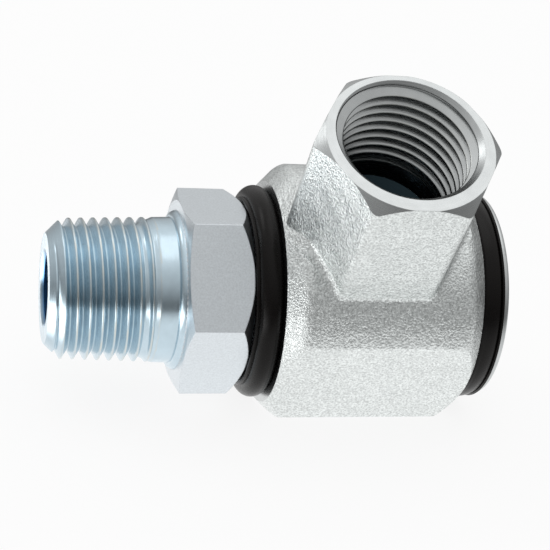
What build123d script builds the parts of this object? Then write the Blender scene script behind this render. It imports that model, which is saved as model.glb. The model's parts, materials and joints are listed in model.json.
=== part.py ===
from build123d import *
from math import cos, radians, sin, sqrt, tan
import os

# Hydraulic swivel joint for a pipe or a hose. A turned stem with a wrench hexagon and a tapered male pipe
# thread turns through full circles in a forged housing, whose hexagonal boss has a female pipe thread.
# Units are millimetres. The joint lies on the lowest flat of its housing. X runs along the stem, with the
# male thread towards -X, and Z is up. The origin is on that flat, below the point where the stem's axis
# meets the port's axis.

# Housing
body_across_flats = 33.6
body_front_end = 13.9
body_rear_end = 15.9
body_end_chamfer_angle = 45.0
body_shoulder_radius = 3.0
forged_edge_radius = 1.2
body_bore_radius = 10.05
body_bore_chamfer = 0.5

# Port boss, which stands on the housing's upper front corner
port_angle = 60.0
port_height = 36.4
boss_across_flats = 23.8
boss_edge_radius = 1.5
boss_chamfer_radius = 12.0
boss_foot_fillet = 1.2
boss_foot_end_angle = 48.0
port_offset = 0.5
port_mouth_radius = 10.6
port_tap_radius = 9.13
port_drill_depth = 19.5
port_drill_point_angle = 118.0
passage_radius = 5.0

# Stem, outside the housing
thread_end = 46.7
thread_small_radius = 10.36
thread_taper = 1 / 16
thread_end_chamfer = 1.1
neck_fillet = 1.0
hex_across_flats = 27.0
hex_front_face = 27.3
hex_rear_face = 17.8
hex_turn = 2.8
hex_front_chamfer_angle = 18.0
hex_rear_chamfer_angle = 40.0
flow_bore_radius = 5.35
flow_bore_end = 4.6
flow_bore_chamfer = 0.5
bore_drill_point_angle = 118.0

# Stem, inside the housing
journal_radius = 10.0
collar_radius = 12.6
chamber_radius = 7.8
chamber_half_width = 4.6
cross_hole_radius = 3.0
cross_hole_count = 4
seal_groove_radius = 8.6
seal_groove_start = 5.7
guide_groove_radius = 9.0
guide_groove_inset = 0.9
guide_groove_width = 2.5
spigot_radius = 8.0
ring_groove_radius = 7.6
spigot_overhang = 1.5
spigot_chamfer = 0.7

# Rings, washers and seals
thrust_washer_thickness = 2.9
thrust_washer_radius = 12.8
dust_ring_radius = 16.05
dust_ring_lip_radius = 14.9
dust_ring_lip_width = 0.8
dust_ring_edge_radius = 15.1
dust_ring_inner_radius = 13.05
seal_width = 2.2
seal_corner_radius = 0.6
backup_ring_width = 0.9
guide_ring_gap = 1.2
retaining_washer_radius = 15.66
retaining_washer_thickness = 1.4
retaining_washer_edge_radius = 0.5
retaining_ring_thickness = 1.0
retaining_ring_width = 2.2
retaining_ring_lug_radius = 1.7
retaining_ring_lug_hole = 0.75
retaining_ring_gap = 3.2

# Clearances
end_play = 0.1
running_clearance = 0.05
seal_clearance = 0.02
groove_clearance = 0.03

# Derived sizes. The housing's end faces are turned down to the circle that touches its flats.
axis_height = body_across_flats / 2
body_end_radius = body_across_flats / 2
body_corner_radius = body_across_flats / sqrt(3)
hex_corner_radius = hex_across_flats / sqrt(3)
seal_groove_width = seal_width + 2 * backup_ring_width + 2 * groove_clearance
washer_face = body_rear_end + thrust_washer_thickness + end_play
collar_face = body_front_end + thrust_washer_thickness + end_play
ring_groove_start = washer_face + retaining_washer_thickness
stem_rear_end = ring_groove_start + retaining_ring_thickness + 2 * groove_clearance + spigot_overhang

# Planes and axes. Sections across the stem have local x towards the front (-Y) and local y up, and turned
# profiles have local x along the stem or the port and local y outward.
stem_axis = Axis((0, 0, axis_height), (1, 0, 0))
section_plane = Plane(origin=(0, 0, axis_height), x_dir=(0, -1, 0), z_dir=(-1, 0, 0))
turning_plane = Plane(origin=(0, 0, axis_height), x_dir=(1, 0, 0), z_dir=(0, -1, 0))
port_direction = Vector(0, -cos(radians(port_angle)), sin(radians(port_angle)))
port_side = Vector(1, 0, 0)
port_back = port_direction.cross(port_side)
boss_plane = Plane(origin=(0, 0, axis_height), x_dir=port_side, z_dir=port_direction)
port_origin = Vector(0, 0, axis_height) + port_back * port_offset
port_turning_plane = Plane(origin=port_origin, x_dir=port_side, z_dir=port_side.cross(port_direction))
boss_turning_plane = Plane(origin=(0, 0, axis_height), x_dir=port_side, z_dir=port_side.cross(port_direction))
port_axis = Axis(port_origin, port_direction)
boss_axis = Axis((0, 0, axis_height), port_direction)


def polar(radius, angle):
    """Point of a section, at an angle counted from the front."""
    return (radius * cos(radians(angle)), radius * sin(radians(angle)))


def thread_radius(distance):
    """Radius of the male thread's crests, at a distance from the port's axis."""
    return thread_small_radius + (thread_end - distance) * thread_taper / 2


def turned(points, plane, axis, mode=Mode.ADD):
    """Turn a closed outline of corners about an axis."""
    with BuildSketch(plane) as outline:
        with BuildLine():
            Polyline(*points, close=True)
        make_face()
    revolve(outline.sketch, axis=axis, mode=mode)


def turned_ring(start, end, inner_radius, outer_radius, mode=Mode.ADD):
    """Plain ring about the stem's axis."""
    corners = [(start, inner_radius), (end, inner_radius), (end, outer_radius), (start, outer_radius)]
    turned(corners, turning_plane, stem_axis, mode)


def boss_section(start=0.0):
    """Hexagon of the boss, with rounded corners, at a distance from the stem's axis."""
    with BuildSketch(boss_plane.offset(start)) as section:
        RegularPolygon(radius=boss_across_flats / 2, side_count=6, major_radius=False)
        fillet(section.vertices(), radius=boss_edge_radius)
    return section.sketch


# Boss and its foot. They are made on a round bar of the housing's size, so that the fillet runs all round.
body_length = body_front_end + body_rear_end
boss_foot_reach = 1.2 * boss_foot_fillet
boss_foot_peak = body_end_radius + body_length / 2 * tan(radians(boss_foot_end_angle))

with BuildPart() as boss:
    with BuildSketch(section_plane.offset(-body_rear_end - boss_across_flats / 2)):
        Circle(body_corner_radius)
    extrude(amount=body_length + boss_across_flats)
    extrude(boss_section(), amount=port_height)
    fillet(boss.edges(Select.NEW), radius=boss_foot_fillet)
    # Only the boss and its foot stay of the bar
    with BuildSketch(boss_plane):
        RegularPolygon(radius=boss_across_flats / 2 + boss_foot_reach, side_count=6, major_radius=False)
    extrude(amount=port_height + boss_foot_reach, mode=Mode.INTERSECT)
    # The foot ends a little steeper than the housing's own ends
    turned(
        [
            (-body_front_end, 0),
            (-body_front_end, body_end_radius),
            ((body_rear_end - body_front_end) / 2, boss_foot_peak),
            (body_rear_end, body_end_radius),
            (body_rear_end, 0),
        ],
        turning_plane,
        stem_axis,
        Mode.INTERSECT,
    )

# Housing
body_barrel_radius = body_corner_radius + 0.1
body_chamfer_length = (body_barrel_radius - body_end_radius) / tan(radians(body_end_chamfer_angle))
boss_chamfer_size = boss_across_flats / sqrt(3) - boss_chamfer_radius

with BuildPart() as swivel_body:
    # Forged section: flats below and behind, and a round side that carries the boss
    with BuildSketch(section_plane.offset(-body_rear_end)):
        with BuildLine():
            flats = Polyline(*[polar(body_corner_radius, angle) for angle in (120, 180, 240, 300, 360)])
            ThreePointArc(flats @ 1, polar(body_corner_radius, 60), flats @ 0)
        make_face()
        fillet(vertices(), radius=forged_edge_radius)
    extrude(amount=body_length)
    # Ends: a round face and a slope that runs out on the flats, with a soft shoulder
    with BuildSketch(turning_plane):
        with BuildLine():
            Polyline(
                (-body_front_end, 0),
                (-body_front_end, body_end_radius),
                (-body_front_end + body_chamfer_length, body_barrel_radius),
                (body_rear_end - body_chamfer_length, body_barrel_radius),
                (body_rear_end, body_end_radius),
                (body_rear_end, 0),
                close=True,
            )
        make_face()
        fillet(vertices().group_by(Axis.Y)[-1], radius=body_shoulder_radius)
    revolve(axis=stem_axis, mode=Mode.INTERSECT)
    add(boss.part)
    # The boss's corners reach past its foot, clear of what lies against the end faces
    extrude(boss_section(body_end_radius), amount=port_height - body_end_radius)
    # Turned chamfer round the boss's mouth, which cuts its corners
    corner_reach = boss_chamfer_size + 1
    turned(
        [
            (boss_chamfer_radius - 1, port_height + 1),
            (boss_chamfer_radius + corner_reach, port_height + 1),
            (boss_chamfer_radius + corner_reach, port_height - corner_reach),
        ],
        boss_turning_plane,
        boss_axis,
        Mode.SUBTRACT,
    )
    # Port: countersink, tap drill with its point, and the passage to the flow chamber
    countersink_end = port_height - (port_mouth_radius - port_tap_radius)
    drill_end = port_height - port_drill_depth
    drill_point = (port_tap_radius - passage_radius) / tan(radians(port_drill_point_angle / 2))
    turned(
        [
            (0, port_height),
            (port_mouth_radius, port_height),
            (port_tap_radius, countersink_end),
            (port_tap_radius, drill_end),
            (passage_radius, drill_end - drill_point),
            (passage_radius, 0),
            (0, 0),
        ],
        port_turning_plane,
        port_axis,
        Mode.SUBTRACT,
    )
    # Bore for the journal, with a lead-in at each end
    bore_mouth = body_bore_radius + body_bore_chamfer
    turned(
        [
            (-body_front_end, 0),
            (-body_front_end, bore_mouth),
            (-body_front_end + body_bore_chamfer, body_bore_radius),
            (body_rear_end - body_bore_chamfer, body_bore_radius),
            (body_rear_end, bore_mouth),
            (body_rear_end, 0),
        ],
        turning_plane,
        stem_axis,
        Mode.SUBTRACT,
    )
swivel_body.part.label = "swivel_body"

# Stem
neck_radius = thread_radius(hex_front_face)
flow_bore_point = flow_bore_radius / tan(radians(bore_drill_point_angle / 2))
guide_grooves = (
    -body_front_end + guide_groove_inset,
    body_rear_end - guide_groove_inset - guide_groove_width,
)
seal_grooves = (-seal_groove_start - seal_groove_width, seal_groove_start)

with BuildPart() as stem:
    # Wrench hexagon, with turned chamfers on both faces
    with BuildSketch(section_plane.offset(hex_rear_face)):
        RegularPolygon(
            radius=hex_across_flats / 2, side_count=6, major_radius=False, rotation=hex_turn
        )
    extrude(amount=hex_front_face - hex_rear_face)
    hex_flat_radius = hex_across_flats / 2
    corner_height = hex_corner_radius + 1 - hex_flat_radius
    front_slope = corner_height * tan(radians(hex_front_chamfer_angle))
    rear_slope = corner_height * tan(radians(hex_rear_chamfer_angle))
    turned(
        [
            (-hex_front_face, 0),
            (-hex_front_face, hex_flat_radius),
            (-hex_front_face + front_slope, hex_flat_radius + corner_height),
            (-hex_rear_face - rear_slope, hex_flat_radius + corner_height),
            (-hex_rear_face, hex_flat_radius),
            (-hex_rear_face, 0),
        ],
        turning_plane,
        stem_axis,
        Mode.INTERSECT,
    )
    # Thread blank and neck, at the size of the crests
    thread_mouth = thread_radius(thread_end) - thread_end_chamfer
    with BuildSketch(turning_plane):
        with BuildLine():
            Polyline(
                (-thread_end, 0),
                (-thread_end, thread_mouth),
                (-thread_end + thread_end_chamfer, thread_radius(thread_end - thread_end_chamfer)),
                (-hex_front_face - neck_fillet, thread_radius(hex_front_face + neck_fillet)),
            )
            RadiusArc(
                (-hex_front_face - neck_fillet, thread_radius(hex_front_face + neck_fillet)),
                (-hex_front_face, neck_radius + neck_fillet),
                neck_fillet,
            )
            Polyline((-hex_front_face, neck_radius + neck_fillet), (-hex_front_face, 0), (-thread_end, 0))
        make_face()
    revolve(axis=stem_axis)
    # Collar, journal, and the spigot for the retaining washer
    turned(
        [
            (-hex_rear_face, 0),
            (-hex_rear_face, collar_radius),
            (-collar_face, collar_radius),
            (-collar_face, journal_radius),
            (washer_face, journal_radius),
            (washer_face, spigot_radius),
            (stem_rear_end - spigot_chamfer, spigot_radius),
            (stem_rear_end, spigot_radius - spigot_chamfer),
            (stem_rear_end, 0),
        ],
        turning_plane,
        stem_axis,
    )
    # Flow chamber, seal grooves, guide ring grooves and the groove for the retaining ring
    chamber_edge = journal_radius + 1
    turned_ring(-chamber_half_width, chamber_half_width, chamber_radius, chamber_edge, Mode.SUBTRACT)
    for start in seal_grooves:
        turned_ring(start, start + seal_groove_width, seal_groove_radius, chamber_edge, Mode.SUBTRACT)
    for start in guide_grooves:
        turned_ring(start, start + guide_groove_width, guide_groove_radius, chamber_edge, Mode.SUBTRACT)
    ring_groove_end = ring_groove_start + retaining_ring_thickness + 2 * groove_clearance
    turned_ring(ring_groove_start, ring_groove_end, ring_groove_radius, chamber_edge, Mode.SUBTRACT)
    # Blind flow bore with its drill point, and the cross holes that open it to the chamber
    turned(
        [
            (-thread_end, 0),
            (-thread_end, flow_bore_radius + flow_bore_chamfer),
            (-thread_end + flow_bore_chamfer, flow_bore_radius),
            (flow_bore_end, flow_bore_radius),
            (flow_bore_end + flow_bore_point, 0),
        ],
        turning_plane,
        stem_axis,
        Mode.SUBTRACT,
    )
    for index in range(cross_hole_count):
        turn = radians(index * 360 / cross_hole_count)
        outward = Vector(0, -cos(turn), sin(turn))
        with BuildSketch(Plane(origin=(0, 0, axis_height), x_dir=(1, 0, 0), z_dir=outward)):
            Circle(cross_hole_radius)
        extrude(amount=journal_radius, mode=Mode.SUBTRACT)
stem.part.label = "stem"


def dust_ring(start, end):
    """Rubber ring with a crowned rim and a narrow lip on the side of the stem's hexagon."""
    crown_start = start + dust_ring_lip_width
    with BuildPart() as ring:
        with BuildSketch(turning_plane):
            with BuildLine():
                Polyline(
                    (crown_start, dust_ring_lip_radius),
                    (start, dust_ring_lip_radius),
                    (start, dust_ring_inner_radius),
                    (end, dust_ring_inner_radius),
                    (end, dust_ring_edge_radius),
                )
                ThreePointArc(
                    (end, dust_ring_edge_radius),
                    ((crown_start + end) / 2, dust_ring_radius),
                    (crown_start, dust_ring_lip_radius),
                )
            make_face()
        revolve(axis=stem_axis)
    return ring.part


def plain_ring(start, end, inner_radius, outer_radius):
    """Washer or ring of plain rectangular section."""
    with BuildPart() as ring:
        turned_ring(start, end, inner_radius, outer_radius)
    return ring.part


def split_ring(start, end, inner_radius, outer_radius, gap):
    """Ring of plain rectangular section with a straight gap at its top."""
    with BuildPart() as ring:
        turned_ring(start, end, inner_radius, outer_radius)
        with BuildSketch(section_plane.offset(-end)):
            with Locations((0, (inner_radius + outer_radius) / 2)):
                Rectangle(gap, 2 * (outer_radius - inner_radius))
        extrude(amount=end - start, mode=Mode.SUBTRACT)
    return ring.part


def pressure_seal(start):
    """Rubber sealing ring, pressed flat between its groove and the housing's bore."""
    with BuildPart() as ring:
        with BuildSketch(turning_plane):
            with Locations((start + seal_width / 2, (seal_inner_radius + sliding_radius) / 2)):
                RectangleRounded(seal_width, sliding_radius - seal_inner_radius, seal_corner_radius)
        revolve(axis=stem_axis)
    return ring.part


# Rings that run in the housing's bore
sliding_radius = body_bore_radius - seal_clearance
seal_inner_radius = seal_groove_radius + groove_clearance
pieces = {"swivel_body": swivel_body.part, "stem": stem.part}
for side, start in zip(("front", "rear"), guide_grooves):
    pieces[side + "_guide_ring"] = split_ring(
        start + groove_clearance,
        start + guide_groove_width - groove_clearance,
        guide_groove_radius + groove_clearance,
        sliding_radius,
        guide_ring_gap,
    )
for side, start, names in zip(
    ("front", "rear"), seal_grooves, (("outer", "inner"), ("inner", "outer"))
):
    first_backup = start + groove_clearance
    seal_start = first_backup + backup_ring_width
    second_backup = seal_start + seal_width
    pieces[side + "_pressure_seal"] = pressure_seal(seal_start)
    for name, place in zip(names, (first_backup, second_backup)):
        pieces[f"{side}_{name}_backup_ring"] = plain_ring(
            place, place + backup_ring_width, seal_inner_radius, sliding_radius
        )

# Thrust washers and dust rings, which bear on the housing's end faces
washer_bore = journal_radius + running_clearance
pieces["front_thrust_washer"] = plain_ring(
    -body_front_end - thrust_washer_thickness, -body_front_end, washer_bore, thrust_washer_radius
)
pieces["rear_thrust_washer"] = plain_ring(
    body_rear_end, body_rear_end + thrust_washer_thickness, washer_bore, thrust_washer_radius
)
pieces["front_dust_ring"] = dust_ring(-hex_rear_face + end_play, -body_front_end)
pieces["rear_dust_ring"] = dust_ring(body_rear_end, washer_face - end_play)

# Retaining washer, against the journal's shoulder, and the spring ring in its groove
with BuildPart() as retaining_washer:
    turned_ring(
        washer_face,
        washer_face + retaining_washer_thickness,
        spigot_radius + running_clearance,
        retaining_washer_radius,
    )
    rims = retaining_washer.edges().filter_by(GeomType.CIRCLE).sort_by(SortBy.RADIUS)[-2:]
    fillet(rims.sort_by(Axis.X)[-1], radius=retaining_washer_edge_radius)
pieces["retaining_washer"] = retaining_washer.part

ring_start = ring_groove_start + groove_clearance
ring_inner_radius = ring_groove_radius + groove_clearance
ring_outer_radius = ring_inner_radius + retaining_ring_width
with BuildPart() as retaining_ring:
    with BuildSketch(section_plane.offset(-ring_start - retaining_ring_thickness)):
        Circle(ring_outer_radius)
        lug_height = ring_outer_radius - retaining_ring_lug_radius / 2
        lug_side = retaining_ring_gap / 2 + retaining_ring_lug_radius
        with Locations((-lug_side, lug_height), (lug_side, lug_height)):
            Circle(retaining_ring_lug_radius)
        Circle(ring_inner_radius, mode=Mode.SUBTRACT)
        with Locations((0, ring_outer_radius)):
            Rectangle(retaining_ring_gap, 4 * retaining_ring_width, mode=Mode.SUBTRACT)
        with Locations((-lug_side, lug_height), (lug_side, lug_height)):
            Circle(retaining_ring_lug_hole, mode=Mode.SUBTRACT)
    extrude(amount=retaining_ring_thickness)
pieces["retaining_ring"] = retaining_ring.part

os.makedirs("parts", exist_ok=True)
for name, piece in pieces.items():
    piece.label = name
    export_step(piece, f"parts/{name}.step")
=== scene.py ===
import json
from math import cos, hypot, pi, radians, sin, tan

import bpy
import numpy as np
from bpy.props import FloatProperty, FloatVectorProperty, IntProperty, PointerProperty
from mathutils import Matrix, Vector


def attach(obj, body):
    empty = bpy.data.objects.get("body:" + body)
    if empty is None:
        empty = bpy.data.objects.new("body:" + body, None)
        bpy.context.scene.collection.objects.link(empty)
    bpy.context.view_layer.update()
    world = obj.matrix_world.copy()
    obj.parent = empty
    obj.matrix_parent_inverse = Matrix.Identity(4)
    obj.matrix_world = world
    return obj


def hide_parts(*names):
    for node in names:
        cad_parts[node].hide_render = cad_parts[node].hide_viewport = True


bl_info = {
    "name": "Hydraulic swivel joint",
    "version": (1, 0, 0),
    "blender": (4, 5, 0),
    "location": "3D View > Sidebar > Swivel",
    "description": "Dresses the swivel joint's solids with its threads, finishes and a plain studio",
    "category": "Object",
}

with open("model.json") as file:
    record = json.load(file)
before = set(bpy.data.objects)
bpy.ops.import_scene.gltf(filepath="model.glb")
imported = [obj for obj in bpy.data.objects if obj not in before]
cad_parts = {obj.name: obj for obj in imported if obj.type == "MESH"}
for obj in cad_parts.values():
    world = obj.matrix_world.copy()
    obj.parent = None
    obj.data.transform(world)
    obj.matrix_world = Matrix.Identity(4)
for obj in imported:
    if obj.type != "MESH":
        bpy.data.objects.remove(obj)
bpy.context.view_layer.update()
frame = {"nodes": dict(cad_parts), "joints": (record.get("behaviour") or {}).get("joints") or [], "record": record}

# Sizes and places are in millimetres, apart from the stage's, which are in metres. The frame gives the height
# of the stem's axis, the end of the male thread, and the port's direction and tap drill.

MM = 0.001
MOUNTS = {mount["name"]: mount for mount in frame["record"]["mounts"]}
AXIS_HEIGHT = frame["joints"][0]["pos_m"][2] / MM


def linear(hex_colour):
    """Linear red, green and blue of an sRGB hex colour."""
    channels = [int(hex_colour[place:place + 2], 16) / 255 for place in (1, 3, 5)]
    return [c / 12.92 if c <= 0.04045 else ((c + 0.055) / 1.055) ** 2.4 for c in channels]


def colour_property(name, description, hex_colour):
    """Colour that a user may change, given as sRGB hex."""
    return FloatVectorProperty(
        name=name, description=description, subtype="COLOR", min=0, max=1, default=linear(hex_colour)
    )


def length_property(name, description, millimetres):
    """Length that a user may change, given in millimetres."""
    return FloatProperty(
        name=name, description=description, subtype="DISTANCE", unit="LENGTH", default=millimetres * MM
    )


class SwivelThreads(bpy.types.PropertyGroup):
    """Sizes of the pipe threads"""

    pitch: length_property("Pitch", "Distance from crest to crest, 14 threads to 25.4 mm", 25.4 / 14)
    crest_flat: length_property("Crest flat", "Width of the male thread's flat crests", 0.2)
    height: length_property("Height", "Depth of the male thread", 1.36)
    columns: IntProperty(name="Columns", description="Steps round one turn of a thread", default=240)


class SwivelColours(bpy.types.PropertyGroup):
    """Colours of the finishes"""

    forging: colour_property("Forging", "Blasted and zinc plated forging", "#E3E7E6")
    turned: colour_property("Turned steel", "Turned and zinc plated steel, slightly blue", "#C2D4DE")
    milled: colour_property("Milled steel", "Milled and zinc plated steel", "#DAE0E4")
    machined: colour_property("Machined steel", "Machined and zinc plated steel of the housing", "#C0C3C3")
    # Partly painted highlight: the pale crest colour stands for scuffed zinc and also for the highlight along the
    # crests
    crest: colour_property("Thread crest", "Where a thread's crests are rubbed pale", "#CBCDC8")
    # Painted shade: the bore's dark blue stands for the shade inside the stem's bore
    bore: colour_property("Stem's bore", "Blue of the plating inside the stem", "#4A7BA6")
    # Painted shade: the dark colour deep in the port stands for the shade in the recess
    deep: colour_property("Port's depth", "Thinly plated steel deep in the port", "#232E33")
    rubber: colour_property("Rubber", "Black nitrile rubber", "#0E0B0A")
    plastic: colour_property("Bearing plastic", "Filled acetal", "#C9C4B4")
    backup: colour_property("Backup plastic", "White fluoroplastic", "#E4E3DE")
    spring: colour_property("Spring steel", "Phosphated spring steel", "#4B4A49")


class SwivelStage(bpy.types.PropertyGroup):
    """Place, direction and lens of the camera"""

    distance: length_property("Camera distance", "From the point where the stem's and port's axes meet", 252)
    shift_side: length_property("Camera side step", "To the right of that point, left if below zero", -11.31)
    shift_up: length_property("Camera rise", "Above that point", 2.6)
    azimuth: FloatProperty(
        name="Azimuth", description="Turn of the camera round the joint", subtype="ANGLE",
        default=radians(13.7),
    )
    tilt: FloatProperty(
        name="Tilt", description="Height of the camera above the horizon", subtype="ANGLE",
        default=radians(24.91),
    )
    roll: FloatProperty(
        name="Roll", description="Roll of the camera", subtype="ANGLE", default=radians(0.84)
    )
    focal_pixels: FloatProperty(
        name="Focal length", description="In pixels of a picture 550 wide", subtype="PIXEL", default=1635
    )


# Materials


def add_node(tree, kind, inputs=None, **settings):
    """Add a node with its settings, and link or set its inputs."""
    node = tree.nodes.new(kind)
    for name, value in settings.items():
        setattr(node, name, value)
    for key, value in (inputs or {}).items():
        if isinstance(value, bpy.types.NodeSocket):
            tree.links.new(value, node.inputs[key])
        else:
            node.inputs[key].default_value = value
    return node


def new_material(name):
    """Empty material with its output and its surface shader."""
    material = bpy.data.materials.new(name)
    material.use_nodes = True
    tree = material.node_tree
    tree.nodes.clear()
    shader = add_node(tree, "ShaderNodeBsdfPrincipled")
    add_node(tree, "ShaderNodeOutputMaterial", {"Surface": shader.outputs["BSDF"]})
    return material, tree, shader


def millimetres(tree, stretch=(1, 1, 1)):
    """Place on the object in millimetres, stretched along its axes."""
    place = add_node(tree, "ShaderNodeTexCoord").outputs["Object"]
    scale = [factor / MM for factor in stretch]
    return add_node(
        tree, "ShaderNodeVectorMath", {0: place, 1: scale}, operation="MULTIPLY"
    ).outputs["Vector"]


STEM_AXIS_POINT, STEM_AXIS = (0, 0, AXIS_HEIGHT), (1, 0, 0)
TOOL_STEP = 0.12
MARK_LENGTH = 6.25


def turned_place(tree, centre, axis, step):
    """Place for tool marks: it runs fast along an axis and away from it, and slowly round it."""
    kind = "ShaderNodeVectorMath"
    place = millimetres(tree)
    away = add_node(tree, kind, {0: place, 1: centre}, operation="SUBTRACT").outputs["Vector"]
    along = add_node(tree, kind, {0: away, 1: axis}, operation="DOT_PRODUCT").outputs["Value"]
    on_axis = add_node(tree, kind, {0: axis, "Scale": along}, operation="SCALE").outputs["Vector"]
    outward = add_node(tree, kind, {0: away, 1: on_axis}, operation="SUBTRACT").outputs["Vector"]
    radius = add_node(tree, kind, {0: outward}, operation="LENGTH").outputs["Value"]
    fast = add_node(tree, "ShaderNodeCombineXYZ", {"X": along, "Y": radius}).outputs["Vector"]
    fine = add_node(tree, kind, {0: fast, "Scale": 1 / step}, operation="SCALE").outputs["Vector"]
    slow = add_node(tree, kind, {0: place, "Scale": 1 / MARK_LENGTH}, operation="SCALE").outputs["Vector"]
    return add_node(tree, kind, {0: fine, 1: slow}, operation="ADD").outputs["Vector"]


def blend_range(tree, value, low, high, to_low, to_high):
    """Carry a value from one range to another."""
    return add_node(
        tree, "ShaderNodeMapRange",
        {"Value": value, "From Min": low, "From Max": high, "To Min": to_low, "To Max": to_high},
    ).outputs["Result"]


def two_tone(tree, factor, first, second):
    """Mix two colours by a factor."""
    mix = add_node(tree, "ShaderNodeMix", {0: factor, 6: first, 7: second}, data_type="RGBA")
    return mix.outputs[2]


def rgba(colour, gain=1.0):
    """Colour with alpha, lighter or darker by a gain."""
    return [min(1.0, channel * gain) for channel in colour] + [1.0]


def rounded_bump(tree, height, strength, depth, edge):
    """Surface direction with fine relief, and with edges rounded by a radius."""
    normal = add_node(tree, "ShaderNodeBevel", {"Radius": edge * MM}, samples=4).outputs["Normal"]
    return add_node(
        tree, "ShaderNodeBump",
        {"Strength": strength, "Distance": depth * MM, "Height": height, "Normal": normal},
    ).outputs["Normal"]


def blasted_zinc_forging(colours):
    """Forged steel, shot blasted and zinc plated: a fine sparkling grain over soft forged waves."""
    material, tree, shader = new_material("forged_steel_blasted_zinc_plated")
    place = millimetres(tree)
    # Blast dimples are about 0.1 mm, and are drawn at 0.3 mm so that they show
    grain = add_node(tree, "ShaderNodeTexNoise", {"Vector": place, "Scale": 1 / 0.3, "Detail": 2})
    waves = add_node(tree, "ShaderNodeTexNoise", {"Vector": place, "Scale": 1 / 3.5, "Detail": 2})
    shade = blend_range(tree, grain.outputs["Fac"], 0.35, 0.65, 0.0, 1.0)
    tone = two_tone(tree, shade, rgba(colours.forging, 0.74), rgba(colours.forging, 1.16))
    tree.links.new(tone, shader.inputs["Base Color"])
    shader.inputs["Metallic"].default_value = 1.0
    roughness = blend_range(tree, waves.outputs["Fac"], 0.3, 0.7, 0.28, 0.38)
    tree.links.new(roughness, shader.inputs["Roughness"])
    relief = add_node(
        tree, "ShaderNodeMath", {0: waves.outputs["Fac"], 1: 1.5, 2: grain.outputs["Fac"]},
        operation="MULTIPLY_ADD",
    )
    normal = rounded_bump(tree, relief.outputs[0], 1.0, 0.16, 0.2)
    tree.links.new(normal, shader.inputs["Normal"])
    return material


def turned_zinc(name, colour, crest, painted_shade, roughness, line_depth, centre=STEM_AXIS_POINT, axis=STEM_AXIS):
    """Turned steel, zinc plated: bright, with fine rings from the tool.

    It has one colour more on the crests, pale from scuffed zinc and partly a painted highlight, and another,
    darker one that is painted shade in recesses.
    """
    material, tree, shader = new_material(name)
    # Tool marks are 0.12 mm apart and run on for a few millimetres round the axis
    lines = add_node(
        tree, "ShaderNodeTexNoise",
        {"Vector": turned_place(tree, centre, axis, TOOL_STEP), "Scale": 1.0, "Detail": 2},
    )
    cloud = add_node(tree, "ShaderNodeTexNoise", {"Vector": millimetres(tree), "Scale": 1 / 2.0, "Detail": 3})
    base = two_tone(tree, cloud.outputs["Fac"], rgba(colour, 0.86), rgba(colour, 1.06))
    # Marks of wear and painted light: 1 on pale crests, below 0 where painted shade darkens a recess
    plating = add_node(tree, "ShaderNodeAttribute", attribute_name="plating").outputs["Fac"]
    # Crests are pale in places only, from scuffed wear and a painted highlight
    worn_and_highlit = blend_range(tree, cloud.outputs["Fac"], 0.35, 0.6, 0.15, 0.8)
    rubbed_and_highlit = add_node(tree, "ShaderNodeMath", {0: plating, 1: worn_and_highlit}, operation="MULTIPLY").outputs[0]
    base = two_tone(tree, rubbed_and_highlit, base, rgba(crest))
    # Painted shade: where a mark is below 0 the colour goes over to the dark shade colour, in the stem's bore and
    # deep in the port
    base = two_tone(tree, blend_range(tree, plating, 0, -1, 0, 1), base, rgba(painted_shade))
    tree.links.new(base, shader.inputs["Base Color"])
    shader.inputs["Metallic"].default_value = 1.0
    spread = blend_range(tree, lines.outputs["Fac"], 0.3, 0.7, roughness * 0.85, roughness * 1.2)
    tree.links.new(spread, shader.inputs["Roughness"])
    normal = rounded_bump(tree, lines.outputs["Fac"], 0.6, line_depth, 0.08)
    tree.links.new(normal, shader.inputs["Normal"])
    return material


def milled_zinc(colours):
    """Milled steel, zinc plated: satin, with faint pits and cutter lines."""
    material, tree, shader = new_material("milled_steel_zinc_plated")
    lines = add_node(
        tree, "ShaderNodeTexNoise",
        {"Vector": millimetres(tree, (0.4, 1 / 0.2, 1 / 0.2)), "Scale": 1.0, "Detail": 2},
    )
    pits = add_node(tree, "ShaderNodeTexNoise", {"Vector": millimetres(tree), "Scale": 1 / 0.25, "Detail": 3})
    speck = blend_range(tree, pits.outputs["Fac"], 0.3, 0.7, 0.0, 1.0)
    tone = two_tone(tree, speck, rgba(colours.milled, 0.9), rgba(colours.milled, 1.05))
    tree.links.new(tone, shader.inputs["Base Color"])
    shader.inputs["Metallic"].default_value = 1.0
    shader.inputs["Roughness"].default_value = 0.34
    height = add_node(
        tree, "ShaderNodeMath", {0: lines.outputs["Fac"], 1: pits.outputs["Fac"]}, operation="ADD"
    )
    normal = rounded_bump(tree, height.outputs[0], 0.4, 0.012, 0.22)
    tree.links.new(normal, shader.inputs["Normal"])
    return material


def moulded(name, colour, roughness, grain, depth, gloss=0.5):
    """Moulded rubber or plastic, with a faint grain in its colour, gloss and surface."""
    material, tree, shader = new_material(name)
    skin = add_node(
        tree, "ShaderNodeTexNoise", {"Vector": millimetres(tree), "Scale": 1 / grain, "Detail": 3}
    )
    tone = two_tone(tree, skin.outputs["Fac"], rgba(colour, 0.8), rgba(colour, 1.25))
    tree.links.new(tone, shader.inputs["Base Color"])
    spread = blend_range(tree, skin.outputs["Fac"], 0.3, 0.7, roughness * 0.85, roughness * 1.15)
    tree.links.new(spread, shader.inputs["Roughness"])
    shader.inputs["Specular IOR Level"].default_value = gloss
    tree.links.new(rounded_bump(tree, skin.outputs["Fac"], 0.3, depth, 0.15), shader.inputs["Normal"])
    return material


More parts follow.
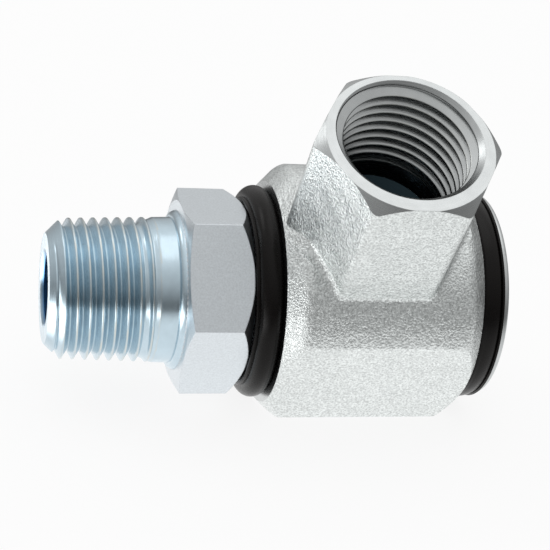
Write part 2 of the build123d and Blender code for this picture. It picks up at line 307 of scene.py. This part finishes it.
def phosphated_spring(colours):
    """Spring steel, blanked and phosphated: dark grey, satin, with a fine crystal grain."""
    material, tree, shader = new_material("spring_steel_phosphated")
    grain = add_node(
        tree, "ShaderNodeTexNoise", {"Vector": millimetres(tree), "Scale": 1 / 0.15, "Detail": 3}
    )
    tone = two_tone(tree, grain.outputs["Fac"], rgba(colours.spring, 0.75), rgba(colours.spring, 1.3))
    tree.links.new(tone, shader.inputs["Base Color"])
    shader.inputs["Metallic"].default_value = 1.0
    shader.inputs["Roughness"].default_value = 0.45
    normal = rounded_bump(tree, grain.outputs["Fac"], 0.4, 0.01, 0.1)
    tree.links.new(normal, shader.inputs["Normal"])
    return material


# Meshes. Points are in millimetres until a piece is made. TOUCH and NEAR are how near counts as on a surface,
# and a face looks along an axis where its normal has more than FLAT_FACE of it.

TOUCH, NEAR = 0.01, 0.05
FLAT_FACE = 0.95
JOINING_DIGITS = 5
# Both pipe threads: the radius grows by this share of the length, and a flank rises this much over its width
TAPER = 1 / 32
FLANK_SLOPE = 1 / tan(radians(30))


class Shell:
    """Points, faces, corner normals, material numbers and marks of wear and painted light of a piece in the
    making.

    A mark is 1 where a crest is pale, from scuffed wear and a painted highlight, and -1 where painted shade is
    full.
    """

    def __init__(self):
        self.points, self.faces, self.normals, self.slots, self.marks = [], [], [], [], []

    def add(self, points, faces, normals, slots, marks):
        """Add faces, whose corners count from the first of the points given with them."""
        start = len(self.points)
        self.points.extend(points)
        self.marks.extend(marks)
        self.faces.extend([tuple(start + corner for corner in face) for face in faces])
        self.normals.extend(normals)
        self.slots.extend(slots)

    def piece(self, name, materials):
        """Make the object."""
        mesh = bpy.data.meshes.new(name)
        mesh.from_pydata([tuple(c * MM for c in point) for point in self.points], [], self.faces)
        for material in materials:
            mesh.materials.append(material)
        mesh.polygons.foreach_set("material_index", self.slots)
        mesh.polygons.foreach_set("use_smooth", [True] * len(self.faces))
        # The marks are kept for the turned finishes: pale crests that are part wear and part painted highlight,
        # and painted shade
        marks = mesh.attributes.new("plating", "FLOAT", "POINT")
        marks.data.foreach_set("value", self.marks)
        mesh.normals_split_custom_set([normal for face in self.normals for normal in face])
        mesh.update()
        thing = bpy.data.objects.new(name, mesh)
        bpy.context.scene.collection.objects.link(thing)
        return thing


def keep_solid(shell, node, dropped, slot_of, mark_of):
    """Add the faces of a CAD node to a shell, with their normals, apart from those that a test drops."""
    mesh = frame["nodes"][node].data
    points = [tuple(c / MM for c in vertex.co) for vertex in mesh.vertices]
    normals = mesh.corner_normals
    used, faces, corners, slots = {}, [], [], []
    for polygon in mesh.polygons:
        own = [points[index] for index in polygon.vertices]
        if dropped(own, polygon.normal):
            continue
        faces.append([used.setdefault(index, len(used)) for index in polygon.vertices])
        corners.append([tuple(normals[index].vector) for index in polygon.loop_indices])
        slots.append(slot_of(own, polygon.normal))
    kept = [points[index] for index in used]
    shell.add(kept, faces, corners, slots, [mark_of(point) for point in kept])


def add_ribbon(shell, place, radius, mark, length, pitch, first, steps, columns, slot, inward):
    """Add a threaded wall to a shell. Its rows follow the helix, so that crests and roots stay crisp.

    The steps are the places of the rows within one pitch, in shares of it, from a crest or root at first.
    """
    # Whole turns, from some before the start to some past the end
    low = int((0 - first) / pitch) - 3
    high = int((length - first) / pitch) + 2
    turns = np.array([turn + step for turn in range(low, high) for step in steps])
    angles = np.arange(columns) * 2 * pi / columns
    along = first + (turns[:, None] + angles[None, :] / (2 * pi)) * pitch
    along = np.clip(along, 0, length)
    spread = radius(along, angles[None, :])
    points = place(along, spread, angles[None, :]).reshape(-1, 3)
    marks = mark(along, spread).reshape(-1)
    index = np.arange(len(points)).reshape(len(turns), columns)
    last = len(turns) - len(steps)
    here, up = index[:last - 1], index[1:last]
    # After a full turn, a row meets the row one pitch further on
    wrap = np.concatenate([index[:, 1:], np.roll(index[:, :1], -len(steps), axis=0)], axis=1)
    here_next, up_next = wrap[:last - 1], wrap[1:last]
    quads = np.stack([here, here_next, up_next, up], axis=-1).reshape(-1, 4)
    if inward:
        quads = quads[:, ::-1]
    # Rows past an end fold onto it, and are joined there
    keys = np.round(points, JOINING_DIGITS)
    _, first_of, joined = np.unique(keys, axis=0, return_index=True, return_inverse=True)
    joined = joined.reshape(-1)
    faces = []
    for quad in joined[quads]:
        corners = [int(corner) for turn, corner in enumerate(quad) if corner != quad[turn - 1]]
        if len(set(corners)) == len(corners) and len(corners) > 2:
            faces.append(corners)
    seen = sorted({corner for face in faces for corner in face})
    renumber = {old: new for new, old in enumerate(seen)}
    faces = [[renumber[corner] for corner in face] for face in faces]
    kept = [tuple(points[first_of[old]]) for old in seen]
    shell.add(
        kept, faces, [[(0, 0, 0)] * len(face) for face in faces], [slot] * len(faces),
        [float(marks[first_of[old]]) for old in seen],
    )


def add_turned(shell, place, profile, columns, slot, inward=False):
    """Add a surface turned from a profile of (distance along, radius) to a shell."""
    angles = np.arange(columns) * 2 * pi / columns
    along = np.array([[point[0]] * columns for point in profile])
    spread = np.array([[point[1]] * columns for point in profile])
    points = place(along, spread, angles[None, :]).reshape(-1, 3)
    faces = []
    for row in range(len(profile) - 1):
        for column in range(columns):
            after = (column + 1) % columns
            here, up = row * columns, (row + 1) * columns
            face = [here + column, here + after, up + after, up + column]
            faces.append(face[::-1] if inward else face)
    shell.add(
        [tuple(point) for point in points], faces, [[(0, 0, 0)] * 4] * len(faces), [slot] * len(faces),
        [0.0] * len(points),
    )


def arc(centre, radius, start, end, count):
    """Points of an arc in a profile, with angles in degrees from the direction along the axis."""
    turn = [radians(start + (end - start) * step / count) for step in range(count + 1)]
    return [(centre[0] + radius * cos(a), centre[1] + radius * sin(a)) for a in turn]


def crest_distance(along, angles, first, pitch):
    """Distance along the axis from the nearest crest or root of a helix."""
    turns = (along - first) / pitch - angles / (2 * pi)
    return np.abs(turns - np.round(turns)) * pitch


def stem_place(along, spread, angles):
    """Place of points about the stem's axis, given by x, radius and angle."""
    x, radius, angle = np.broadcast_arrays(along, spread, angles)
    return np.stack([x, radius * np.cos(angle), radius * np.sin(angle) + AXIS_HEIGHT], axis=-1)


# Stem. The solid's blank runs from THREAD_END to BLANK_END, outside BLANK_RADIUS. The threaded wall that
# takes its place runs on to THREAD_STOP, a little inside the neck's fillet.

THREAD_END = MOUNTS["male_thread"]["pos_m"][0] / MM
BLANK_END, BLANK_RADIUS = -28.25, 9.2
THREAD_STOP = -28.2
THREAD_SMALL_RADIUS = 10.36
THREAD_FIRST_CREST = -45.491
# The thread's end chamfer starts at the mouth's radius, and its last turns grow shallow along the run-out
THREAD_MOUTH_RADIUS = 8.2
RUN_OUT_START, RUN_OUT_END = -34.2, -30.9
# Crests are pale this far down from their tops, from scuffed wear and a painted highlight
CREST_WEAR_AND_HIGHLIGHT_DEPTH = 0.12
BORE_RADIUS, BORE_MOUTH_RADIUS = 5.35, 5.85
# The hexagon's milled faces lie between these places, outside this radius
HEX_FRONT, HEX_REAR, HEX_INNER_RADIUS = -27.35, -17.75, 11.9
# Rows of the mesh in shares of a pitch, from the middle of a crest, close together there and in the root
STEM_ROWS = (
    0, 0.045, 0.075, 0.15, 0.24, 0.33, 0.41, 0.455, 0.5, 0.545, 0.59, 0.67, 0.76, 0.85, 0.925, 0.955
)


class SWIVEL_OT_stem(bpy.types.Operator):
    """Make the stem, with its tapered male pipe thread"""

    bl_idname = "swivel.stem"
    bl_label = "Stem"

    def execute(self, context):
        threads, colours = context.scene.swivel_threads, context.scene.swivel_colours
        pitch, flat, height = (v / MM for v in (threads.pitch, threads.crest_flat, threads.height))

        def dropped(own, normal):
            blank = all(x < BLANK_END and hypot(y, z - AXIS_HEIGHT) > BLANK_RADIUS for x, y, z in own)
            end_face = all(x < THREAD_END + TOUCH for x, y, z in own)
            return end_face or (blank and abs(normal[0]) < FLAT_FACE)

        def slot_of(own, normal):
            x = sum(point[0] for point in own) / len(own)
            outside = min(hypot(y, z - AXIS_HEIGHT) for _, y, z in own) > HEX_INNER_RADIUS
            return 1 if HEX_FRONT < x < HEX_REAR and outside else 0

        def place(along, spread, angles):
            return stem_place(along + THREAD_END, spread, angles)

        def radius(along, angles):
            x = along + THREAD_END
            blank = THREAD_SMALL_RADIUS + along * TAPER
            away = crest_distance(x, angles, THREAD_FIRST_CREST, pitch)
            cut = np.clip((away - flat / 2) * FLANK_SLOPE, 0, height)
            shallow = np.clip((RUN_OUT_END - x) / (RUN_OUT_END - RUN_OUT_START), 0, 1)
            thread = blank - np.minimum(cut, height * shallow)
            return np.minimum(thread, THREAD_MOUTH_RADIUS + along)

        def mark(along, spread):
            blank = THREAD_SMALL_RADIUS + along * TAPER
            threaded = along + THREAD_END < RUN_OUT_END
            # Pale crests: scuffed wear and partly a painted highlight
            return np.where(threaded, np.clip(1 - (blank - spread) / CREST_WEAR_AND_HIGHLIGHT_DEPTH, 0, 1), 0.0)

        def mark_of(point):
            in_bore = hypot(point[1], point[2] - AXIS_HEIGHT) < BORE_RADIUS + NEAR
            # Painted shade: the bore takes the dark shade colour
            return -1.0 if in_bore and point[0] < HEX_REAR else 0.0

        shell = Shell()
        keep_solid(shell, "stem", dropped, slot_of, mark_of)
        add_ribbon(
            shell, place, radius, mark, length=THREAD_STOP - THREAD_END, pitch=pitch,
            first=THREAD_FIRST_CREST - THREAD_END, steps=STEM_ROWS, columns=threads.columns, slot=0,
            inward=False,
        )
        # The end face, a ring from the bore's chamfer to the thread's
        add_turned(shell, place, [(0, BORE_MOUTH_RADIUS), (0, THREAD_MOUTH_RADIUS)], threads.columns, slot=0)
        turned = turned_zinc(
            "turned_steel_zinc_plated", colours.turned, colours.crest, colours.bore, roughness=0.22,
            line_depth=0.02,
        )
        stem = shell.piece("threaded_stem", [turned, milled_zinc(colours)])
        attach(stem, "stem")
        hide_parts("stem")
        return {"FINISHED"}


# Housing. Depths in the port count from its face. The solid's wall there lies between two radii.

PORT_HEIGHT = 36.4
PORT_OFFSET = 0.5
PORT_MOUTH_RADIUS = 10.6
PORT_TAP_RADIUS = MOUNTS["female_port"]["dims"]["r_mm"]
PORT_WALL_RADII = (9.0, 10.63)
PORT_DRILL_DEPTH = 19.5
PORT_THREAD_START, PORT_RUN_OUT_START, PORT_RUN_OUT_END = 1.6, 13.6, 16.4
PORT_ROOT_FLAT = 0.14
PORT_FIRST_ROOT = 0.9
# Crests are pale this far up from their tops, from scuffed wear and a painted highlight, and painted shade darkens
# the port from this depth to the end of the thread, to this share of the shade colour
PORT_CREST_WEAR_AND_HIGHLIGHT_DEPTH = 0.2
PORT_SHADE_START, PORT_SHADE_MARK = 3, 0.3
PORT_DIRECTION = np.array(MOUNTS["female_port"]["axis"])
PORT_SIDE = np.array([1.0, 0, 0])
PORT_BACK = np.cross(PORT_DIRECTION, PORT_SIDE)
PORT_FACE = np.array([0, 0, AXIS_HEIGHT]) + PORT_BACK * PORT_OFFSET + PORT_DIRECTION * PORT_HEIGHT
LIP_DEPTH, LIP_WIDTH = 0.02, 0.06
# The boss's turned chamfer, by its depth and by how much of its normal lies along the port
BOSS_CHAMFER_DEPTH, BOSS_CHAMFER_LEAN = 3, (0.5, 0.9)
# The housing's turned end faces, and the radius that its bore and the bore's chamfers stay within
HOUSING_FRONT, HOUSING_REAR, HOUSING_BORE_REACH = -13.9, 15.9, 10.7
# Rows of the mesh in shares of a pitch, from the middle of a root, close together round the crest
PORT_ROWS = (
    0, 0.035, 0.1, 0.18, 0.26, 0.33, 0.38, 0.42, 0.46, 0.5, 0.54, 0.58, 0.62, 0.67, 0.74, 0.82, 0.9, 0.965
)


def port_place(along, spread, angles):
    """Place of points in the port, given by depth, radius and angle."""
    depth, radius, angle = np.broadcast_arrays(along, spread, angles)
    outward = np.cos(angle)[..., None] * PORT_BACK + np.sin(angle)[..., None] * PORT_SIDE
    return PORT_FACE - depth[..., None] * PORT_DIRECTION + radius[..., None] * outward


def port_reading(point):
    """Depth and radius of a point in the port."""
    away = np.array(point) - PORT_FACE
    depth = -away @ PORT_DIRECTION
    return depth, float(np.linalg.norm(away + depth * PORT_DIRECTION))


class SWIVEL_OT_housing(bpy.types.Operator):
    """Make the forged housing, with its female pipe thread"""

    bl_idname = "swivel.housing"
    bl_label = "Housing"

    def execute(self, context):
        threads, colours = context.scene.swivel_threads, context.scene.swivel_colours
        pitch = threads.pitch / MM

        def dropped(own, normal):
            readings = [port_reading(point) for point in own]
            inner, outer = PORT_WALL_RADII
            wall = all(
                -TOUCH < depth < PORT_DRILL_DEPTH + TOUCH and inner < spread < outer
                for depth, spread in readings
            )
            return wall and abs(np.dot(normal, PORT_DIRECTION)) < FLAT_FACE

        def slot_of(own, normal):
            middle = np.mean(own, axis=0)
            depth, spread = port_reading(middle)
            port_face = abs(depth) < NEAR
            inside_port = spread < PORT_MOUTH_RADIUS and 0 < depth < PORT_HEIGHT
            at_end = middle[0] < HOUSING_FRONT + NEAR or middle[0] > HOUSING_REAR - NEAR
            end_face = at_end and abs(normal[0]) > FLAT_FACE
            bore = max(hypot(y, z - AXIS_HEIGHT) for _, y, z in own) < HOUSING_BORE_REACH
            least, most = BOSS_CHAMFER_LEAN
            chamfer = (
                least < np.dot(normal, PORT_DIRECTION) < most
                and depth < BOSS_CHAMFER_DEPTH and spread > PORT_MOUTH_RADIUS
            )
            return 1 if port_face or inside_port or chamfer or end_face or bore else 0

        def radius(along, angles):
            away = crest_distance(along, angles, PORT_FIRST_ROOT, pitch)
            fade = np.clip((PORT_RUN_OUT_END - along) / (PORT_RUN_OUT_END - PORT_RUN_OUT_START), 0, 1)
            root = PORT_MOUTH_RADIUS - along * TAPER
            cut = root - np.clip((away - PORT_ROOT_FLAT / 2) * FLANK_SLOPE, 0, None)
            limit = PORT_TAP_RADIUS + (root - PORT_TAP_RADIUS) * fade
            thread = np.clip(cut, PORT_TAP_RADIUS, limit)
            return np.maximum(thread, PORT_MOUTH_RADIUS - along)

        def mark(along, spread):
            threaded = (along > PORT_THREAD_START) & (along < PORT_RUN_OUT_START)
            # Pale crests: scuffed wear and partly a painted highlight
            height = (spread - PORT_TAP_RADIUS) / PORT_CREST_WEAR_AND_HIGHLIGHT_DEPTH
            rubbed_and_highlit = np.where(threaded, np.clip(1 - height, 0, 1), 0)
            # Painted shade: the port grows darker with depth
            deep = np.clip((along - PORT_SHADE_START) / (PORT_RUN_OUT_END - PORT_SHADE_START), 0, 1)
            return rubbed_and_highlit - PORT_SHADE_MARK * deep

        def mark_of(point):
            depth, spread = port_reading(point)
            # Painted shade: the bottom of the port takes the dark shade colour
            return -1.0 if spread < PORT_TAP_RADIUS + TOUCH and depth > PORT_RUN_OUT_END else 0.0

        shell = Shell()
        keep_solid(shell, "swivel_body", dropped, slot_of, mark_of)
        add_ribbon(
            shell, port_place, radius, mark, length=PORT_DRILL_DEPTH, pitch=pitch, first=PORT_FIRST_ROOT,
            steps=PORT_ROWS, columns=threads.columns, slot=1, inward=True,
        )
        # Narrow lips carry the wall's ends a little under the port's face and past the drilled depth
        lips = (
            [(LIP_DEPTH, PORT_MOUTH_RADIUS + LIP_WIDTH), (0, PORT_MOUTH_RADIUS)],
            [
                (PORT_DRILL_DEPTH, PORT_TAP_RADIUS),
                (PORT_DRILL_DEPTH + LIP_DEPTH, PORT_TAP_RADIUS + LIP_WIDTH),
            ],
        )
        for lip in lips:
            add_turned(shell, port_place, lip, threads.columns, slot=1, inward=True)
        machined = turned_zinc(
            "machined_port_zinc_plated", colours.machined, colours.crest, colours.deep, roughness=0.26,
            line_depth=0.01, centre=tuple(PORT_FACE), axis=tuple(PORT_DIRECTION),
        )
        housing = shell.piece("forged_housing", [blasted_zinc_forging(colours), machined])
        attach(housing, "housing")
        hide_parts("swivel_body")
        return {"FINISHED"}


# Dust rings. Points of a profile are (x, radius), and a round stretch is an arc with a centre and a radius.
# The front ring runs from 0.1 mm behind the hexagon to the housing's front end, and the rear ring from the
# housing's rear end to 0.1 mm before the retaining washer.

RING_INNER_RADIUS = 13.05
RING_COLUMNS = 192
FRONT_RING_FACE = -17.7
FRONT_LIP_FOOT, FRONT_LIP_CENTRE, FRONT_LIP_RADIUS = 13.9, (-17.38, 13.95), 0.32
FRONT_ROLL_FOOT, FRONT_ROLL_CENTRE, FRONT_ROLL_RADIUS = 14.5, (-15.5, 14.3), 1.75
REAR_RING_FACE, WASHER_LIP_END, WASHER_LIP_RADIUS = 18.8, 19.45, 15.72
REAR_LIP_CENTRE, REAR_LIP_RADIUS = (19.35, 15.84), 0.12
REAR_CROWN_CENTRE, REAR_CROWN_RADIUS = (17.5, 12.6), 3.45
REAR_ROLL_FOOT, REAR_ROLL_CENTRE, REAR_ROLL_RADIUS = 15.1, (16.9, 15.05), 1.0


class SWIVEL_OT_dust_rings(bpy.types.Operator):
    """Make the two moulded rubber dust rings"""

    bl_idname = "swivel.dust_rings"
    bl_label = "Dust rings"

    def execute(self, context):
        colours = context.scene.swivel_colours
        rubber = moulded(
            "nitrile_rubber_moulded", colours.rubber, roughness=0.28, grain=0.4, depth=0.01, gloss=0.15
        )
        # A narrow lip stands close to the hexagon, and a thick roll fills the gap to the housing
        front = (
            [(FRONT_RING_FACE, RING_INNER_RADIUS), (FRONT_RING_FACE, FRONT_LIP_FOOT)]
            + arc(FRONT_LIP_CENTRE, FRONT_LIP_RADIUS, 180, 40, 8)
            + arc(FRONT_ROLL_CENTRE, FRONT_ROLL_RADIUS, 185, 12, 32)
            + [(HOUSING_FRONT, FRONT_ROLL_FOOT), (HOUSING_FRONT, RING_INNER_RADIUS)]
            + [(FRONT_RING_FACE, RING_INNER_RADIUS)]
        )
        # The rear ring's lip reaches over the rim of the retaining washer
        rear = (
            [(REAR_RING_FACE, RING_INNER_RADIUS), (REAR_RING_FACE, WASHER_LIP_RADIUS)]
            + [(WASHER_LIP_END, WASHER_LIP_RADIUS)]
            + arc(REAR_LIP_CENTRE, REAR_LIP_RADIUS, -45, 70, 6)
            + arc(REAR_CROWN_CENTRE, REAR_CROWN_RADIUS, 62, 100, 12)
            + arc(REAR_ROLL_CENTRE, REAR_ROLL_RADIUS, 100, 175, 12)
            + [(HOUSING_REAR, REAR_ROLL_FOOT), (HOUSING_REAR, RING_INNER_RADIUS)]
            + [(REAR_RING_FACE, RING_INNER_RADIUS)]
        )
        for name, profile, node, inward in (
            ("front_rubber_dust_ring", front, "front_dust_ring", False),
            ("rear_rubber_dust_ring", rear, "rear_dust_ring", True),
        ):
            shell = Shell()
            add_turned(shell, stem_place, profile, RING_COLUMNS, slot=0, inward=inward)
            ring = shell.piece(name, [rubber])
            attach(ring, "housing")
            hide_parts(node)
        return {"FINISHED"}


# Pieces whose solids are right as they are


class SWIVEL_OT_plain_pieces(bpy.types.Operator):
    """Give the washers, guide rings, seals, backup rings and the spring ring their finishes"""

    bl_idname = "swivel.plain_pieces"
    bl_label = "Washers and seals"

    def execute(self, context):
        colours = context.scene.swivel_colours
        washer = turned_zinc(
            "blanked_washer_zinc_plated", colours.machined, colours.crest, colours.deep, roughness=0.3,
            line_depth=0.01,
        )
        bearing = moulded("acetal_machined", colours.plastic, roughness=0.5, grain=0.2, depth=0.006)
        finishes = {
            "retaining_washer": washer,
            "retaining_ring": phosphated_spring(colours),
            "pressure_seal": moulded(
                "nitrile_rubber_oiled", colours.rubber, roughness=0.3, grain=0.3, depth=0.005
            ),
            "thrust_washer": bearing,
            "guide_ring": bearing,
            "backup_ring": moulded(
                "fluoroplastic_machined", colours.backup, roughness=0.45, grain=0.25, depth=0.005
            ),
        }
        for node, thing in frame["nodes"].items():
            for word, finish in finishes.items():
                if word not in node:
                    continue
                if not thing.material_slots:
                    raise RuntimeError(f"{node} has no material slot")
                for slot in thing.material_slots:
                    slot.material = finish
        return {"FINISHED"}


# Stage, in metres. The camera sees a white floor and a white room, with a faint shadow. The metal mirrors a
# tent of light, dim along the horizon, and a floor whose brightness falls off away from the joint.

PICTURE_WIDTH = 550
SENSOR_WIDTH = 36
CLIP_NEAR, CLIP_FAR = 0.01, 20
FLOOR_HALF = 3.0
FLOOR_COLOUR = "#F4F4F4"
# How much of the floor is plain white to the camera: the rest is paper, which takes the shadow
FLOOR_WHITE = 0.88
# Mirrored floor: the distances between which it fades, and its strength before and after
FADE_START, FADE_END, FADE_NEAR, FADE_FAR = 0.045, 0.14, 1.12, 0.2
# Mirrored floor beyond the male thread: how far towards -X it starts and is full, the distances from the
# joint between which its gain fades, and the gain before and after
BEYOND_START, BEYOND_FULL = 0.055, 0.075
GAIN_START, GAIN_END, GAIN_NEAR, GAIN_FAR = 0.11, 0.19, 6.0, 2.2
# Tent: its strength towards the horizon, what is added overhead and behind, and the least
TENT_LEVEL, TENT_ABOVE, TENT_BEHIND, TENT_LEAST = 0.31, 0.75, 0.15, 0.08
# Each lamp's name, place, size and power in watts. All point at the joint.
LAMPS = (
    ("overhead_softbox", (0.15, 0.1, 0.85), 0.6, 0.55),
    ("left_softbox", (-0.54, 0.41, 0.6), 0.3, 0.45),
)
LAMP_AIM = (0, 0, 0.02)


class SWIVEL_OT_stage(bpy.types.Operator):
    """Make the floor, the soft lights and the camera"""

    bl_idname = "swivel.stage"
    bl_label = "Stage"

    def execute(self, context):
        scene, view = context.scene, context.scene.swivel_stage
        self.floor(scene)
        self.world(scene)
        self.lamps(scene)
        self.camera(scene, view)
        scene.view_settings.view_transform = "Standard"
        return {"FINISHED"}

    def floor(self, scene):
        """White paper, as the camera and the metal see it."""
        mesh = bpy.data.meshes.new("floor")
        corners = [(x * FLOOR_HALF, y * FLOOR_HALF, 0) for x, y in ((-1, -1), (1, -1), (1, 1), (-1, 1))]
        mesh.from_pydata(corners, [], [(0, 1, 2, 3)])
        material = bpy.data.materials.new("white_paper")
        material.use_nodes = True
        tree = material.node_tree
        tree.nodes.clear()
        path = add_node(tree, "ShaderNodeLightPath")
        paper = add_node(tree, "ShaderNodeBsdfDiffuse", {"Color": rgba(linear(FLOOR_COLOUR))})
        # The metal mirrors a bright floor near the joint, brightest beyond the male thread
        place = add_node(tree, "ShaderNodeNewGeometry").outputs["Position"]
        away = add_node(tree, "ShaderNodeVectorMath", {0: place}, operation="LENGTH").outputs["Value"]
        near = blend_range(tree, away, FADE_START, FADE_END, FADE_NEAR, FADE_FAR)
        beyond = add_node(
            tree, "ShaderNodeVectorMath", {0: place, 1: (-1, 0, 0)}, operation="DOT_PRODUCT"
        ).outputs["Value"]
        gain = blend_range(tree, away, GAIN_START, GAIN_END, GAIN_NEAR, GAIN_FAR)
        lit = blend_range(tree, beyond, BEYOND_START, BEYOND_FULL, 1.0, gain)
        mirrored = add_node(tree, "ShaderNodeMath", {0: near, 1: lit}, operation="MULTIPLY").outputs[0]
        strength = add_node(
            tree, "ShaderNodeMath",
            {0: mirrored, 1: path.outputs["Is Glossy Ray"], 2: path.outputs["Is Camera Ray"]},
            operation="MULTIPLY_ADD",
        )
        glow = add_node(tree, "ShaderNodeEmission", {"Color": (1, 1, 1, 1), "Strength": strength.outputs[0]})
        # The glow takes nearly all of what the camera sees, and all of what the metal mirrors
        seen = add_node(
            tree, "ShaderNodeMath", {0: path.outputs["Is Camera Ray"], 1: FLOOR_WHITE}, operation="MULTIPLY"
        )
        share = add_node(
            tree, "ShaderNodeMath", {0: seen.outputs[0], 1: path.outputs["Is Glossy Ray"]},
            operation="MAXIMUM",
        )
        mix = add_node(
            tree, "ShaderNodeMixShader", {0: share.outputs[0], 1: paper.outputs[0], 2: glow.outputs[0]}
        )
        add_node(tree, "ShaderNodeOutputMaterial", {"Surface": mix.outputs[0]})
        mesh.materials.append(material)
        floor = bpy.data.objects.new("floor", mesh)
        scene.collection.objects.link(floor)

    def world(self, scene):
        """Tent of light: bright overhead, lighter behind the joint than before it, dim along the horizon."""
        world = bpy.data.worlds.new("studio")
        world.use_nodes = True
        tree = world.node_tree
        tree.nodes.clear()
        direction = add_node(tree, "ShaderNodeTexCoord").outputs["Generated"]
        rise = add_node(
            tree, "ShaderNodeVectorMath", {0: direction, 1: (0.0, TENT_BEHIND, TENT_ABOVE)},
            operation="DOT_PRODUCT",
        )
        tent = add_node(tree, "ShaderNodeMath", {0: rise.outputs["Value"], 1: TENT_LEVEL}, operation="ADD")
        tent = add_node(tree, "ShaderNodeMath", {0: tent.outputs[0], 1: TENT_LEAST}, operation="MAXIMUM")
        seen = add_node(tree, "ShaderNodeLightPath").outputs["Is Camera Ray"]
        strength = add_node(tree, "ShaderNodeMath", {0: tent.outputs[0], 1: seen}, operation="MAXIMUM")
        background = add_node(
            tree, "ShaderNodeBackground", {"Color": (1, 1, 1, 1), "Strength": strength.outputs[0]}
        )
        add_node(tree, "ShaderNodeOutputWorld", {"Surface": background.outputs[0]})
        scene.world = world

    def lamps(self, scene):
        """Square soft boxes."""
        for name, place, size, power in LAMPS:
            lamp = bpy.data.lights.new(name, "AREA")
            lamp.shape = "SQUARE"
            lamp.size = size
            lamp.energy = power
            thing = bpy.data.objects.new(name, lamp)
            thing.location = place
            aim = Vector(LAMP_AIM) - Vector(place)
            thing.rotation_euler = aim.to_track_quat("-Z", "Y").to_euler()
            scene.collection.objects.link(thing)

    def camera(self, scene, view):
        """Camera from the stage's settings: level first, then swung up round the stem's line by the tilt."""
        lens = bpy.data.cameras.new("camera")
        lens.sensor_width = SENSOR_WIDTH
        lens.lens = view.focal_pixels / PICTURE_WIDTH * SENSOR_WIDTH
        lens.clip_start, lens.clip_end = CLIP_NEAR, CLIP_FAR
        back = Vector((-sin(view.azimuth), -cos(view.azimuth), 0))
        right = Vector((cos(view.azimuth), -sin(view.azimuth), 0))
        up = Vector((0, 0, 1))
        side = right * cos(view.roll) + up * sin(view.roll)
        rise = up * cos(view.roll) - right * sin(view.roll)
        place = back * view.distance + side * view.shift_side + rise * view.shift_up
        lean = Matrix.Rotation(-view.tilt, 3, "X")
        side, rise, back, place = (lean @ v for v in (side, rise, back, place))
        place.z += AXIS_HEIGHT * MM
        matrix = Matrix((side, rise, back)).transposed().to_4x4()
        matrix.translation = place
        camera = bpy.data.objects.new("camera", lens)
        scene.collection.objects.link(camera)
        camera.matrix_world = matrix
        bpy.context.scene.camera = camera


class SWIVEL_PT_panel(bpy.types.Panel):
    """Sizes, colours and pieces of the swivel joint"""

    bl_idname = "SWIVEL_PT_panel"
    bl_label = "Swivel joint"
    bl_space_type = "VIEW_3D"
    bl_region_type = "UI"
    bl_category = "Swivel"

    def draw(self, context):
        scene = context.scene
        for group in (scene.swivel_threads, scene.swivel_colours, scene.swivel_stage):
            box = self.layout.box()
            for name in group.bl_rna.properties.keys():
                if name not in ("rna_type", "name"):
                    box.prop(group, name)
        for operator in OPERATORS:
            self.layout.operator(operator.bl_idname)


# Registration

GROUPS = (SwivelThreads, SwivelColours, SwivelStage)
OPERATORS = (
    SWIVEL_OT_stem, SWIVEL_OT_housing, SWIVEL_OT_dust_rings, SWIVEL_OT_plain_pieces, SWIVEL_OT_stage
)
SCENE_PROPERTIES = ("swivel_threads", "swivel_colours", "swivel_stage")


def register():
    for each in (*GROUPS, *OPERATORS, SWIVEL_PT_panel):
        bpy.utils.register_class(each)
    for name, group in zip(SCENE_PROPERTIES, GROUPS):
        setattr(bpy.types.Scene, name, PointerProperty(type=group))


def unregister():
    for name in SCENE_PROPERTIES:
        delattr(bpy.types.Scene, name)
    for each in reversed((*GROUPS, *OPERATORS, SWIVEL_PT_panel)):
        bpy.utils.unregister_class(each)


def main():
    """Make every piece and the stage."""
    register()
    bpy.ops.swivel.stem()
    bpy.ops.swivel.housing()
    bpy.ops.swivel.dust_rings()
    bpy.ops.swivel.plain_pieces()
    bpy.ops.swivel.stage()


if __name__ == "__main__":
    main()
